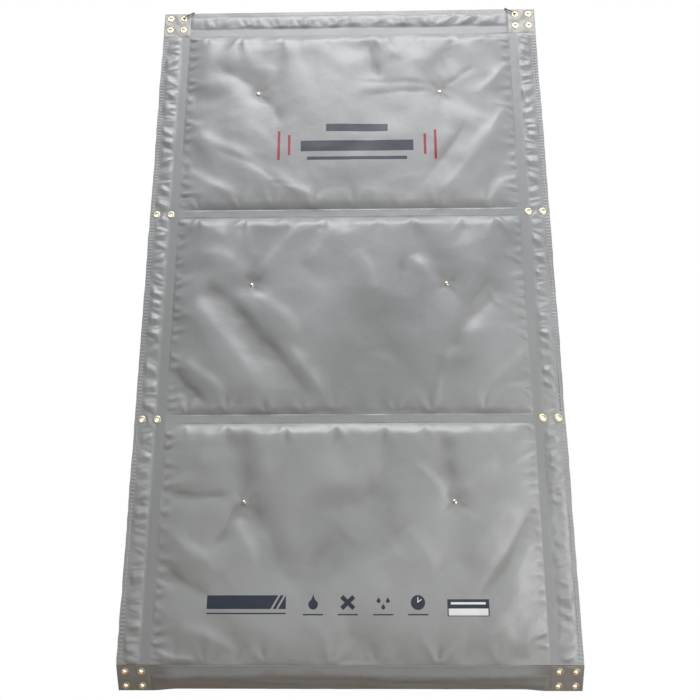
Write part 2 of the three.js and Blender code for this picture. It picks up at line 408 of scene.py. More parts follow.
# An uneven star of four creases round a rivet, with a short ridge beside each
def addStar(creases, x, z, rivet, chance):
    look = pocketLook
    turn, ridgeLength, ridgeWidths = look["besideSpoke"]
    start = chance.uniform(-0.2, 0.2) + math.pi / 4
    for spoke in range(4):
        angle = start + spoke * math.pi / 2 + chance.uniform(-0.25, 0.25)
        size = chance.uniform(*look["spokeHeight"])
        length = chance.uniform(*look["spokeLength"])
        creases -= dart(x, z, rivet.x, rivet.z, angle, length, look["spokeWidths"], size)
        creases += dart(x, z, rivet.x, rivet.z, angle + turn, ridgeLength, ridgeWidths, 0.6 * size)


# The height of a pocket's face with its crown, folds, gathers and dimples, and the folds alone
def pocketHeights(name, x, z, top, foot, seed, front):
    look = pocketLook
    depth = top - z
    fromSide = padHalf - np.abs(x)
    edge = np.minimum(np.minimum(fromSide, depth), z - foot)
    near = 1 - mound(edge, look["weldEdge"])
    belly = look["belly"][name] if front else look["backBelly"]
    footRun = look["footRun"][name] if front else look["backFootRun"]
    crown = 0.45 * rise(fromSide, look["sideRun"]) + 0.55 * rise(fromSide, 2.5 * look["sideRun"])
    crown *= rise(depth, look["topRun"])
    crown *= (1 - belly) * rise(z - foot, footRun) + belly * rise(z - foot, look["bellyRun"])
    swell = look["crown"]
    for number, (spacing, size) in enumerate((look["broadHills"], look["smallHills"])):
        swell = swell + size * hills(x, z, spacing, seed + number)
    height = crown * swell
    chance = np.random.default_rng(seed + 2)
    bent = hills(x, z, 0.26, seed + 11) * 0.02
    wide, narrow = look["crumpleSpacing"]
    creases = look["crumple"] * (0.5 - np.abs(hills(x + bent, z - bent, wide, seed + 7)))
    creases += 0.4 * look["crumple"] * (0.5 - np.abs(hills(x - bent, z, narrow, seed + 8)))
    folds = np.zeros_like(x)
    if front:
        for line, bow in pocketFolds[name]:
            folds += look["foldGain"][name] * fold(x, depth, line, bow)
    creases += folds
    addGathers(creases, x, z, top, foot, chance)
    addCusps(creases, x, z, top, foot, chance)
    for label in sides:
        rivet = middleOf(f"{name}_{label}_rivet")
        reach = np.hypot(x - rivet.x, z - rivet.z)
        addStar(creases, x, z, rivet, chance)
        height = look["rivetSeat"] + (height - look["rivetSeat"]) * (1 - mound(reach, look["dimple"]))
        creases *= 1 - mound(reach, look["rivetRim"])
    height = height + near * rise(edge, look["creaseRun"]) ** 0.5 * creases
    least = look["leastHeight"]
    height = np.where(height > least, height, least * np.exp((height - least) / (2 * least)))
    return height * (1 - mound(edge, look["sealedEdge"], 1)), folds


# How far every point is from the nearest rivet
def rivetGrip(name, x, z):
    grip = np.full(x.shape, np.inf)
    for label in sides:
        rivet = middleOf(f"{name}_{label}_rivet")
        grip = np.minimum(grip, np.hypot(x - rivet.x, z - rivet.z))
    return grip


# Lets a skin of slightly more cloth than the frame it is welded to settle under light pressure
def settleSkin(name, x, z, height):
    look = clothLook
    points = np.stack([x, -height, z], -1).reshape(-1, 3)
    index, corners = gridCells(x.shape)
    mesh = bpy.data.meshes.new(name + "_skin")
    mesh.from_pydata(points.tolist(), [], corners.reshape(-1, 4).tolist())
    mesh.update()
    skin = sceneObject(name + "_skin", mesh)
    held = np.zeros(x.shape, bool)
    held[0] = held[-1] = held[:, 0] = held[:, -1] = True
    held |= rivetGrip(name, x, z) < look["held"]
    skin.vertex_groups.new(name="welds").add([int(i) for i in index[held]], 1, "REPLACE")
    cloth = skin.modifiers.new("Cloth", "CLOTH")
    settings = cloth.settings
    settings.vertex_group_mass = "welds"
    settings.quality = look["quality"]
    settings.mass = look["mass"]
    settings.tension_stiffness = settings.compression_stiffness = look["stretching"]
    settings.shear_stiffness = look["shearing"]
    settings.bending_stiffness = look["bending"]
    settings.tension_damping = settings.compression_damping = settings.shear_damping = look["damping"]
    settings.bending_damping = look["bendingDamping"]
    settings.air_damping = look["airDamping"]
    settings.use_pressure = True
    settings.uniform_pressure_force = look["pressure"]
    settings.shrink_min = settings.shrink_max = -look["growth"]
    settings.effector_weights.gravity = 0
    cloth.collision_settings.use_collision = False
    cloth.collision_settings.use_self_collision = False
    cloth.point_cache.frame_start = 1
    cloth.point_cache.frame_end = look["frames"]
    scene = bpy.context.scene
    for step in range(1, look["frames"] + 1):
        scene.frame_set(step)
    settled = skin.evaluated_get(bpy.context.evaluated_depsgraph_get())
    places = np.empty(points.size)
    settled.data.vertices.foreach_get("co", places)
    scene.frame_set(1)
    bpy.data.objects.remove(skin)
    bpy.data.meshes.remove(mesh)
    move = -places[1::3].reshape(x.shape) - height
    move = look["mostMove"] * np.tanh(move / look["mostMove"])
    return soften(move, 2)


# Values of a coarse grid read at the points of a finer one
def readGrid(coarseX, coarseZ, values, x, z):
    i = np.clip((x - coarseX[0]) / (coarseX[1] - coarseX[0]), 0, len(coarseX) - 1.001)
    j = np.clip((z - coarseZ[0]) / (coarseZ[1] - coarseZ[0]), 0, len(coarseZ) - 1.001)
    i0, j0 = i.astype(int), j.astype(int)
    u, v = i - i0, j - j0
    u, v = u * u * (3 - 2 * u), v * v * (3 - 2 * v)
    low = values[i0, j0] * (1 - u) + values[i0 + 1, j0] * u
    high = values[i0, j0 + 1] * (1 - u) + values[i0 + 1, j0 + 1] * u
    return low * (1 - v) + high * v


settledMoves = {}
pockets = {}
for number, name in enumerate(pocketNames):
    low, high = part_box(name)
    top, foot = high.z + joinGap, low.z - joinGap
    coarseX = gridLines(-padHalf, padHalf, clothLook["cell"])
    coarseZ = gridLines(foot, top, clothLook["cell"])
    x, z = np.meshgrid(coarseX, coarseZ, indexing="ij")
    height, folds = pocketHeights(name, x, z, top, foot, 20 + number, True)
    settledMoves[name] = settleSkin(name, x, z, height)
    print("Skin settled:", name)

for number, name in enumerate(pocketNames):
    low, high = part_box(name)
    top, foot = high.z + joinGap, low.z - joinGap
    spacing = (pocketLook["cell"], pocketLook["endCell"], pocketLook["endReach"])
    xLines, zLines = closerAtEnds(-padHalf, padHalf, *spacing), closerAtEnds(foot, top, *spacing)
    x, z = np.meshgrid(xLines, zLines, indexing="ij")
    edge = np.minimum(padHalf - np.abs(x), np.minimum(top - z, z - foot))
    # no movement at the welds and the rivets
    still = np.minimum(1, rivetGrip(name, x, z) / 0.02) * rise(edge, 0.012)
    heights, hollows = [], []
    # a back uses another pocket's settled movement, turned half round
    for front, lender in ((True, name), (False, pocketNames[(number + 1) % 3])):
        seed = 20 + number + (0 if front else 50)
        height, folds = pocketHeights(name, x, z, top, foot, seed, front)
        # how deep the broad folds sink, for painted shade in their hollows and painted light on their
        # crests
        hollows.append(np.clip(-soften(folds, 4) / 0.006, -1, 1))
        move = settledMoves[lender] if front else settledMoves[lender][::-1, ::-1]
        coarseX = np.linspace(-padHalf, padHalf, move.shape[0])
        coarseZ = np.linspace(foot, top, move.shape[1])
        height = height + clothLook["take"] * still * readGrid(coarseX, coarseZ, move, x, z)
        most = pocketLook["mostRise"]
        capped = 0.7 * most + 0.3 * most * np.tanh((height / most - 0.7) / 0.3)
        height = np.where(height > 0.7 * most, capped, height)
        height = soften(np.maximum(height, 0.0), 1)
        height[0] = height[-1] = height[:, 0] = height[:, -1] = 0
        heights.append(height)
    pocket = shellObject(
        name + "_skin",
        *flatFaces(x, z, heights),
        np.stack([x, z], -1),
        {"valley": (valleys(heights[0]), valleys(heights[1])), "hollow": hollows},
    )
    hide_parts(name)
    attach(pocket, "root")
    pockets[name] = pocket
    print("Pocket made:", name, "crest", round(1000 * float(heights[0].max()), 1), "mm")


# Side flaps: a stitched edge, a puckered band and a flat weld
flapLook = {
    "cell": 0.0031,
    "cellUp": 0.0020,
    "stitchedEdge": 0.015,
    "weld": 0.026,
    "pitch": 0.042,
    "pucker": 0.0072,
    "puff": 0.0008,
    "ripple": 0.0005,
    "spacing": 0.05,
    "sway": 0.0016,
    "edgeWave": 0.00035,
    "stitchLine": 0.0085,
    "stitchPuff": 0.0008,
    "punched": 0.0078,
    "calm": 0.019,
}

stitchLook = {"pitch": 0.010, "length": 0.0064, "radius": 0.00080, "wobble": 0.07, "ends": 0.012}


# Roof-shaped facets across a band, wedge-shaped and leaning, with sharp valleys between them
def puckers(share, along, low, high, bandWidth, pitch, seed):
    chance = np.random.default_rng(seed)
    field = np.zeros_like(share)
    for size, step in ((1.0, 1.0), (0.45, 0.6)):
        place = low - pitch * chance.uniform(0, 1)
        while place < high:
            slant = chance.uniform(-0.6, 0.6)
            lift = rise(share - chance.uniform(0, 0.15), chance.uniform(0.12, 0.4))
            lift = lift * rise(1 - share - chance.uniform(0, 0.15), chance.uniform(0.12, 0.5))
            line = place + slant * bandWidth * (share - 0.5)
            wedge = chance.uniform(-0.6, 0.6)
            width = step * pitch * chance.uniform(0.36, 0.56) * (1 + wedge * (2 * share - 1))
            roof = np.clip(1 - np.abs(along - line) / width, 0, 1)
            field = np.maximum(field, size * chance.uniform(0.4, 1.0) * roof * lift)
            place += step * pitch * chance.uniform(0.6, 1.4)
    return field


def holesOf(prefix, labels):
    names = [f"{prefix}_{label}_eyelet" for label in labels]
    return [(middleOf(name).x, middleOf(name).z) for name in names]


flaps = {}
for prefix, side in sides.items():
    low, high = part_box(f"{prefix}_flap")
    outer = max(abs(low.x), abs(high.x)) + joinGap
    xLines = np.sort(side * gridLines(padHalf, outer, flapLook["cell"]))
    x, z = np.meshgrid(xLines, gridLines(padBottom, padTop, flapLook["cellUp"]), indexing="ij")
    holes = []
    for seam in ("upper_seam", "lower_seam"):
        holes += holesOf(f"{prefix}_{seam}", ["outer", "inner"])
    keep = cutHoles(x, z, holes, flapLook["punched"])
    fromEdge = outer - np.abs(x)
    bandWidth = outer - padHalf - flapLook["stitchedEdge"] - flapLook["weld"]
    share = np.clip((fromEdge - flapLook["stitchedEdge"]) / bandWidth, 0, 1)
    band = rise(share, 0.14) * rise(1 - share, 0.1)
    fromEnd = np.minimum(z - padBottom, padTop - z)
    calm = calmRound(x, z, holes, flapLook["calm"]) * rise(fromEnd, 0.016)
    row = mound(fromEdge - flapLook["stitchLine"], 0.0040, 4) * rise(fromEnd, 0.012)
    beat = 2 * math.pi * (z - padBottom - stitchLook["ends"]) / stitchLook["pitch"]
    skins = []
    for skin in (0, 1):
        seed = 7 + 3 * side + skin
        ridges = puckers(1 - share, z, padBottom, padTop, bandWidth, flapLook["pitch"], seed)
        uneven = flapLook["ripple"] * hills(x, z, flapLook["spacing"], 31 + skin)
        height = band * (flapLook["puff"] + flapLook["pucker"] * ridges + uneven)
        height = soften(height, 1) * calm
        uneven = 1 + 0.25 * hills(x, z, 0.03, 41 + skin)
        height -= flapLook["stitchPuff"] * row * np.cos(beat) * uneven
        skins.append(height)
    upright = np.zeros_like(x)  # both waves run along the flap only
    sway = flapLook["sway"] * hills(upright, z, 0.22, 61 + side) * calm
    sway = sway * rise(outer - padHalf - 0.02 - fromEdge, 0.04)
    lateral = side * flapLook["edgeWave"] * hills(upright, z, 0.06, 71 + side)
    lateral = lateral * np.clip(1 - fromEdge / 0.018, 0, 1)
    pressed = 1 / (1 + np.exp((outer - padHalf - flapLook["weld"] - fromEdge) / 0.0004))
    flap = shellObject(
        f"{prefix}_side_flap",
        *flatFaces(x + lateral, z, skins, sway),
        np.stack([x, z], -1),
        {"valley": (valleys(skins[0], 8), valleys(skins[1], 8)), "pressed": (pressed, pressed)},
        keep,
    )
    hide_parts(f"{prefix}_flap")
    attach(flap, "root")
    flaps[prefix] = flap
print("Side flaps made")


# Top hem: a folded strip, a wrinkled band and a flat weld above the first pocket
topHemLook = {
    "cell": 0.0034,
    "strip": 0.016,
    "weld": 0.028,
    "step": 0.0011,
    "puff": 0.0014,
    "wrinkle": 0.0062,
    "pitch": 0.075,
    "smallWrinkle": 0.0016,
    "smallPitch": 0.031,
    "ripple": 0.0004,
    "spacing": 0.16,
}

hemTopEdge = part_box("top_hem")[1].z + joinGap
xLines = gridLines(-padHalf, padHalf, topHemLook["cell"])
x, z = np.meshgrid(xLines, gridLines(padTop, hemTopEdge, topHemLook["cell"] * 0.8), indexing="ij")
fromTop = hemTopEdge - z
bandHeight = hemTopEdge - padTop - topHemLook["strip"] - topHemLook["weld"]
share = np.clip((fromTop - topHemLook["strip"]) / bandHeight, 0, 1)
band = rise(share, 0.12) * rise(1 - share, 0.12)
skins = []
for skin in (0, 1):
    ridges = puckers(share, x, -padHalf, padHalf, bandHeight * 1.7, topHemLook["pitch"], 90 + skin)
    small = puckers(share, x, -padHalf, padHalf, bandHeight * 1.2, topHemLook["smallPitch"], 94 + skin)
    height = topHemLook["puff"] + topHemLook["wrinkle"] * ridges
    height = soften(band * (height + topHemLook["smallWrinkle"] * small), 1)
    height += topHemLook["step"] / (1 + np.exp((fromTop - topHemLook["strip"]) / 0.0006))
    ripple = topHemLook["ripple"] * hills(x, z, topHemLook["spacing"], 96 + skin)
    height += ripple * rise(fromTop, 0.02)
    skins.append(np.maximum(height, 0) * rise(padHalf - np.abs(x), 0.012))
topHem = shellObject(
    "top_hem_band",
    *flatFaces(x, z, skins),
    np.stack([x, z], -1),
    {"valley": (valleys(skins[0], 8), valleys(skins[1], 8))},
)
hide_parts("top_hem")
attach(topHem, "root")
print("Top hem made")


# Bottom hem: a flat weld that turns sharply into a band curled back under the blanket
bottomHemLook = {
    "cell": 0.0036,
    "rows": 27,
    "weld": 0.027,
    "weldLean": 0.16,
    "cornerRun": 0.07,
    "crease": 0.0012,
    "wave": 0.0022,
    "bead": 0.0010,
    "ripple": 0.0003,
    "spacing": 0.10,
}


# The hem's own line from its upper edge down: depth behind the fabric, fall below the pocket, lean
def hemLine(down, straight):
    look = bottomHemLook
    bandDepth = hemLength * math.sin(hemLean) - look["weld"] * math.sin(look["weldLean"])
    bandLean = math.asin(bandDepth / (hemLength - look["weld"]))
    weldPart = np.minimum(down, look["weld"])
    bandPart = np.maximum(down - look["weld"], 0)
    depth = weldPart * math.sin(look["weldLean"]) + bandPart * math.sin(bandLean)
    fall = weldPart * math.cos(look["weldLean"]) + bandPart * math.cos(bandLean)
    depth = straight * down * math.sin(hemLean) + (1 - straight) * depth
    fall = straight * down * math.cos(hemLean) + (1 - straight) * fall
    bentLean = np.where(down < look["weld"], look["weldLean"], bandLean)
    lean = straight * hemLean + (1 - straight) * bentLean
    return depth, fall, lean


xLines = gridLines(-padHalf, padHalf, bottomHemLook["cell"])
x, down = np.meshgrid(xLines, np.linspace(hemLength, 0, bottomHemLook["rows"]), indexing="ij")
straight = 1 - rise(padHalf - np.abs(x), bottomHemLook["cornerRun"]) ** 2
depth, fall, lean = hemLine(down, straight)
band = np.clip((down - bottomHemLook["weld"]) / 0.010, 0, 1)
skins = []
for skin in (0, 1):
    height = bottomHemLook["crease"] * mound(down - bottomHemLook["weld"] - 0.003, 0.0028)
    uneven = 1 + 0.6 * hills(x * 0.25, down * 2.2, 0.05, 110 + skin)
    height += band * bottomHemLook["wave"] * uneven * rise(hemLength - down, 0.012)
    height += bottomHemLook["ripple"] * hills(x, down, bottomHemLook["spacing"], 113 + skin)
    height += bottomHemLook["bead"] * mound(down - 0.0035, 0.0018)
    skins.append(np.maximum(height, 0) * rise(padHalf - np.abs(x), 0.012))
hemFaces = []
for lift in (-(fabricBack - fabricFront + skins[0]), skins[1]):
    z = padBottom - fall + lift * np.sin(lean)
    hemFaces.append(np.stack([x, depth + lift * np.cos(lean), z], -1))
bottomHem = shellObject(
    "bottom_hem_band",
    *hemFaces,
    np.stack([x, -down], -1),
    {
        "valley": (valleys(skins[0], 8), valleys(skins[1], 8)),
        "down": (down, down),
        "pressed": ((down < bottomHemLook["weld"]) * 1.0,) * 2,
    },
)
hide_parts("bottom_hem")
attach(bottomHem, "root")
print("Bottom hem made")


# Welded strips between the pockets
stripLook = {"cellAcross": 0.006, "cellUp": 0.0026, "bead": 0.0005, "ripple": 0.00035, "spacing": 0.09}

strips = {}
for number, name in enumerate(stripNames):
    low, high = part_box(name)
    x, z = np.meshgrid(
        gridLines(-padHalf, padHalf, stripLook["cellAcross"]),
        gridLines(low.z - joinGap, high.z + joinGap, stripLook["cellUp"]),
        indexing="ij",
    )
    inside = np.minimum(z - z.min(), z.max() - z)
    skins = []
    for skin in (0, 1):
        height = stripLook["bead"] * mound(inside - 0.002, 0.0012)
        uneven = 1 + hills(x, z, stripLook["spacing"], 130 + 4 * number + skin)
        height += stripLook["ripple"] * uneven * rise(inside, 0.006)
        skins.append(np.maximum(height, 0))
    strip = shellObject(
        name + "_weld",
        *flatFaces(x, z, skins),
        np.stack([x, z], -1),
        {"valley": (valleys(skins[0], 4), valleys(skins[1], 4))},
    )
    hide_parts(name)
    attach(strip, "root")
    strips[name] = strip
print("Welded strips made")


# Corners: flat patches with four eyelets; the lower two turn back with the hem
cornerLook = {"cell": 0.0030, "ripple": 0.0007, "spacing": 0.045, "edgeRoll": 0.0006, "calm": 0.016}

corners = {}
for level in ("top", "bottom"):
    for prefix, side in sides.items():
        name = f"{level}_{prefix}_corner"
        low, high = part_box(name)
        outer = max(abs(low.x), abs(high.x)) + joinGap
        length = hemTopEdge - padTop if level == "top" else hemLength
        lean = 0 if level == "top" else hemLean
        start = hemTopEdge if level == "top" else padBottom
        xLines = np.sort(side * gridLines(padHalf, outer, cornerLook["cell"]))
        downLines = np.linspace(length, 0, int(length / cornerLook["cell"]) + 1)
        x, down = np.meshgrid(xLines, downLines, indexing="ij")
        holes = []
        for label in cornerEyelets:
            spot = middleOf(f"{level}_{prefix}_{label}_eyelet")
            holes.append((spot.x, (start - spot.z) * math.cos(lean) + spot.y * math.sin(lean)))
        keep = cutHoles(x, down, holes, flapLook["punched"])
        calm = calmRound(x, down, holes, cornerLook["calm"])
        inside = np.minimum(outer - np.abs(x), np.minimum(down, length - down))
        skins = []
        for skin in (0, 1):
            seed = 150 + skin + side + int(100 * lean)
            height = cornerLook["ripple"] * (1 + hills(x, down, cornerLook["spacing"], seed)) * calm
            height *= rise(inside, 0.010) * rise(np.abs(x) - padHalf, 0.008)
            height += cornerLook["edgeRoll"] * mound(inside - 0.003, 0.002) * calm
            skins.append(np.maximum(height, 0))
        cornerFaces = []
        for out in (fabricFront - skins[0], fabricBack + skins[1]):
            y = out * math.cos(lean) + down * math.sin(lean)
            z = start - down * math.cos(lean) + out * math.sin(lean)
            cornerFaces.append(np.stack([x, y, z], -1))
        patch = shellObject(
            name + "_patch",
            *cornerFaces,
            np.stack([x, start - down], -1),
            {"valley": (valleys(skins[0], 4), valleys(skins[1], 4)), "down": (down, down)},
            keep,
        )
        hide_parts(name)
        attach(patch, "root")
        corners[name] = patch
print("Corner patches made")


# A turned form for what repeats; Geometry Nodes set it at every place
def latheObject(name, profile, turns):
    points = []
    faces = []
    angles = [2 * math.pi * i / turns for i in range(turns)]
    rings = []
    for radius, height in profile:
        if radius < 1e-7:
            rings.append([len(points)])
            points.append((0, height, 0))
        else:
            rings.append(list(range(len(points), len(points) + turns)))
            points += [(radius * math.cos(a), height, radius * math.sin(a)) for a in angles]
    closed = profile[0][0] > 1e-7
    following = rings[1:] + rings[:1] if closed else rings[1:]
    for one, two in zip(rings, following):
        for i in range(turns):
            j = (i + 1) % turns
            quad = [one[i % len(one)], one[j % len(one)], two[j % len(two)], two[i % len(two)]]
            faces.append(list(dict.fromkeys(quad)))
    mesh = bpy.data.meshes.new(name)
    mesh.from_pydata(points, [], faces)
    mesh.update()
    mesh.shade_smooth()
    mesh.set_sharp_from_angle(angle=math.radians(50))
    return sceneObject(name, mesh)


def volumeSign(mesh):
    total = 0
    for face in mesh.polygons:
        spots = [mesh.vertices[i].co for i in face.vertices]
        for k in range(1, len(spots) - 1):
            total += spots[0].dot(spots[k].cross(spots[k + 1]))
    return total


def faceOutwards(form):
    if volumeSign(form.data) < 0:
        form.data.flip_normals()
    return form


# A Geometry Nodes tree with named inputs
class NodeTree:
    def __init__(self, name, inputs):
        self.tree = bpy.data.node_groups.new(name, "GeometryNodeTree")
        self.names = {}
        for label, kind in [("Geometry", "NodeSocketGeometry"), *inputs]:
            socket = self.tree.interface.new_socket(label, in_out="INPUT", socket_type=kind)
            self.names[label] = socket.identifier
        self.tree.interface.new_socket("Geometry", in_out="OUTPUT", socket_type="NodeSocketGeometry")
        self.start = self.tree.nodes.new("NodeGroupInput").outputs
        self.end = self.tree.nodes.new("NodeGroupOutput").inputs

    def add(self, kind, sockets, **settings):
        node = self.tree.nodes.new(kind)
        for key, value in settings.items():
            setattr(node, key, value)
        for key, value in sockets.items():
            if isinstance(value, bpy.types.NodeSocket):
                self.tree.links.new(value, node.inputs[key])
            else:
                node.inputs[key].default_value = value
        return node.outputs

    def finish(self, geometry):
        real = self.add("GeometryNodeRealizeInstances", {"Geometry": geometry})
        sockets = {"Geometry": real["Geometry"], "Material": self.start["Finish"]}
        done = self.add("GeometryNodeSetMaterial", sockets)
        self.tree.links.new(done["Geometry"], self.end["Geometry"])
        return self


# A form at every point, spun at random on its own axis and leaned with the cloth
def placedForms():
    inputs = [
        ("Form", "NodeSocketObject"),
        ("Most Spin", "NodeSocketFloat"),
        ("Seed", "NodeSocketInt"),
        ("Finish", "NodeSocketMaterial"),
    ]
    tree = NodeTree("placedForms", inputs)
    form = tree.add("GeometryNodeObjectInfo", {"Object": tree.start["Form"]})
    limits = {2: 0.0, 3: tree.start["Most Spin"], "Seed": tree.start["Seed"]}
    spin = tree.add("FunctionNodeRandomValue", limits, data_type="FLOAT")
    spun = tree.add("ShaderNodeCombineXYZ", {"Y": spin[1]})
    leanValue = tree.add("GeometryNodeInputNamedAttribute", {"Name": "lean"}, data_type="FLOAT")
    leaned = tree.add("ShaderNodeCombineXYZ", {"X": leanValue["Attribute"]})
    first = tree.add("FunctionNodeEulerToRotation", {"Euler": spun["Vector"]})
    second = tree.add("FunctionNodeEulerToRotation", {"Euler": leaned["Vector"]})
    sockets = {"Rotation": first["Rotation"], "Rotate By": second["Rotation"]}
    turn = tree.add("FunctionNodeRotateRotation", sockets, rotation_space="GLOBAL")
    copies = tree.add(
        "GeometryNodeInstanceOnPoints",
        {"Points": tree.start["Geometry"], "Instance": form["Geometry"], "Rotation": turn["Rotation"]},
    )
    return tree.finish(copies["Instances"])


# A form at every pitch along straight rows, tilted a little at random
def formsAlongRows():
    inputs = [
        ("Form", "NodeSocketObject"),
        ("Pitch", "NodeSocketFloat"),
        ("Wobble", "NodeSocketFloat"),
        ("Seed", "NodeSocketInt"),
        ("Finish", "NodeSocketMaterial"),
    ]
    tree = NodeTree("formsAlongRows", inputs)
    form = tree.add("GeometryNodeObjectInfo", {"Object": tree.start["Form"]})
    rows = tree.add("GeometryNodeMeshToCurve", {"Mesh": tree.start["Geometry"]})
    sockets = {"Curve": rows["Curve"], "Length": tree.start["Pitch"]}
    points = tree.add("GeometryNodeCurveToPoints", sockets, mode="LENGTH")
    turn = tree.add("FunctionNodeAlignRotationToVector", {"Vector": points["Tangent"]}, axis="Z")
    less = tree.add("ShaderNodeMath", {0: tree.start["Wobble"], 1: -1.0}, operation="MULTIPLY")
    limits = {2: less["Value"], 3: tree.start["Wobble"], "Seed": tree.start["Seed"]}
    wobble = tree.add("FunctionNodeRandomValue", limits, data_type="FLOAT")
    tilt = tree.add("ShaderNodeCombineXYZ", {"Y": wobble[1]})
    second = tree.add("FunctionNodeEulerToRotation", {"Euler": tilt["Vector"]})
    sockets = {"Rotation": turn["Rotation"], "Rotate By": second["Rotation"]}
    turned = tree.add("FunctionNodeRotateRotation", sockets, rotation_space="GLOBAL")
    copies = tree.add(
        "GeometryNodeInstanceOnPoints",
        {"Points": points["Points"], "Instance": form["Geometry"], "Rotation": turned["Rotation"]},
    )
    return tree.finish(copies["Instances"])


# Runs a tree on an object of points or rows and returns the result as a plain mesh
def growPiece(name, seedMesh, tree, values):
    source = sceneObject(name + "_source", seedMesh)
    modifier = source.modifiers.new("Grow", "NODES")
    modifier.node_group = tree.tree
    for label, value in values.items():
        modifier[tree.names[label]] = value
    grown = source.evaluated_get(bpy.context.evaluated_depsgraph_get())
    mesh = bpy.data.meshes.new_from_object(grown)
    mesh.name = name
    source.modifiers.remove(modifier)
    bpy.data.objects.remove(source)
    return sceneObject(name, mesh)


def pointMesh(name, places, leans):
    mesh = bpy.data.meshes.new(name)
    mesh.from_pydata([tuple(place) for place in places], [], [])
    attribute = mesh.attributes.new("lean", "FLOAT", "POINT")
    attribute.data.foreach_set("value", np.array(leans, np.float32))
    return mesh


# A value in a material: plain maths on it adds Math nodes
class Link:
    def __init__(self, finish, socket):
        self.finish = finish
        self.socket = socket

    def maths(self, operation, *values):
        return self.finish.node("ShaderNodeMath", {"operation": operation}, values)

    def __add__(self, other):
        return self.maths("ADD", self, other)

    def __radd__(self, other):
        return self.maths("ADD", other, self)

    def __sub__(self, other):
        return self.maths("SUBTRACT", self, other)

    def __rsub__(self, other):
        return self.maths("SUBTRACT", other, self)

    def __mul__(self, other):
        return self.maths("MULTIPLY", self, other)

    def __rmul__(self, other):
        return self.maths("MULTIPLY", other, self)

    def __truediv__(self, other):
        return self.maths("DIVIDE", self, other)

    def __pow__(self, other):
        return self.maths("POWER", self, other)

    def __abs__(self):
        return self.maths("ABSOLUTE", self)

    def below(self, other):
        return self.maths("LESS_THAN", self, other)

    def most(self, other):
        return self.maths("MAXIMUM", self, other)

    def sine(self):
        return self.maths("SINE", self)

    def ramp(self, low, high, first=0.0, last=1.0):
        settings = {"clamp": True, "interpolation_type": "SMOOTHSTEP"}
        return self.finish.node("ShaderNodeMapRange", settings, [self, low, high, first, last])


# A material and the one method that adds its nodes
class Finish:
    def __init__(self, name, **fixed):
        self.material = bpy.data.materials.new(name)
        self.material.use_nodes = True
        self.tree = self.material.node_tree
        self.shader = next(n for n in self.tree.nodes if n.type == "BSDF_PRINCIPLED")
        for label, value in fixed.items():
            self.shader.inputs[label.replace("_", " ")].default_value = value

    def node(self, kind, settings=None, sockets=(), output=0):
        made = self.tree.nodes.new(kind)
        for key, value in (settings or {}).items():
            setattr(made, key, value)
        pairs = sockets.items() if isinstance(sockets, dict) else enumerate(sockets)
        for key, value in pairs:
            if isinstance(value, Link):
                self.tree.links.new(value.socket, made.inputs[key])
            else:
                made.inputs[key].default_value = value
        return Link(self, made.outputs[output])

    def place(self, source="Object"):
        return self.node("ShaderNodeTexCoord", output=source)

    def along(self, vector, axis):
        return self.node("ShaderNodeSeparateXYZ", sockets=[vector], output=axis)

    def field(self, label):
        return self.node("ShaderNodeAttribute", {"attribute_name": label}, output="Fac")

    def noise(self, vector, scale, detail=3.0, roughness=0.55, stretch=(1, 1, 1)):
        turned = {"Vector": vector, "Rotation": (0.5, 0.8, 0.3), "Scale": stretch}
        placed = self.node("ShaderNodeMapping", sockets=turned)
        sockets = {"Vector": placed, "Scale": scale, "Detail": detail, "Roughness": roughness}
        return self.node("ShaderNodeTexNoise", sockets=sockets)

    def mix(self, factor, first, second, kind="MIX"):
        settings = {"data_type": "RGBA", "blend_type": kind, "clamp_factor": True}
        return self.node("ShaderNodeMix", settings, {0: factor, 6: first, 7: second}, output=2)

    def bump(self, height, distance, strength=1.0, after=None):
        sockets = {"Strength": strength, "Distance": distance, "Height": height}
        if after is not None:
            sockets["Normal"] = after
        return self.node("ShaderNodeBump", sockets=sockets)

    def feed(self, **values):
        for label, value in values.items():
            self.tree.links.new(value.socket, self.shader.inputs[label.replace("_", " ")])
        return self.material


fabricLook = {
    "grey": (0.282, 0.289, 0.302, 1),
    "lowGrey": (0.290, 0.299, 0.296, 1),
    "middleGrey": (0.238, 0.246, 0.256, 1),
    "weldedGrey": (0.268, 0.286, 0.292, 1),
    "worn": (0.36, 0.352, 0.335, 1),
    "lowWorn": (0.36, 0.34, 0.31, 1),
    # the lighter random tone, also used as painted light on the fold and crease crests
    "pale": (0.360, 0.368, 0.378, 1),
    "shade": (0.170, 0.175, 0.176, 1),
    "pressed": (0.236, 0.244, 0.246, 1),
    # dirt colour for the random smudges and the hem, also used as painted shade in the creases
    "grimeAndShade": (0.150, 0.138, 0.118, 1),
    "hemSoil": (0.018, 0.036, 0.20, 0.56),
    "cornerSoil": (-0.02, 0.05, 0.20, 0.50),
    "roughness": 0.41,
    "weldedRoughness": 0.34,
    "wornRoughness": 0.42,
    "hemRoughness": 0.48,
    "lowWornRoughness": 0.5,
    "weavePitch": 0.0011,
    "weaveDepth": 0.00005,
    "navy": (0.020, 0.029, 0.048, 1),
    "red": (0.30, 0.006, 0.018, 1),
    "white": (0.74, 0.75, 0.75, 1),
}


# Scrim under the coating: two crossed sets of threads, softened by the plastic over them
def weave(finish, pitch):
    spot = finish.place("UV")
    wander = finish.noise(finish.place(), 70.0, 2.0) * 14
    wide = (finish.along(spot, "X") * (2 * math.pi / pitch) + wander).sine()
    tall = (finish.along(spot, "Y") * (2 * math.pi / pitch) - wander).sine()
    return wide * tall * 0.5 + 0.5


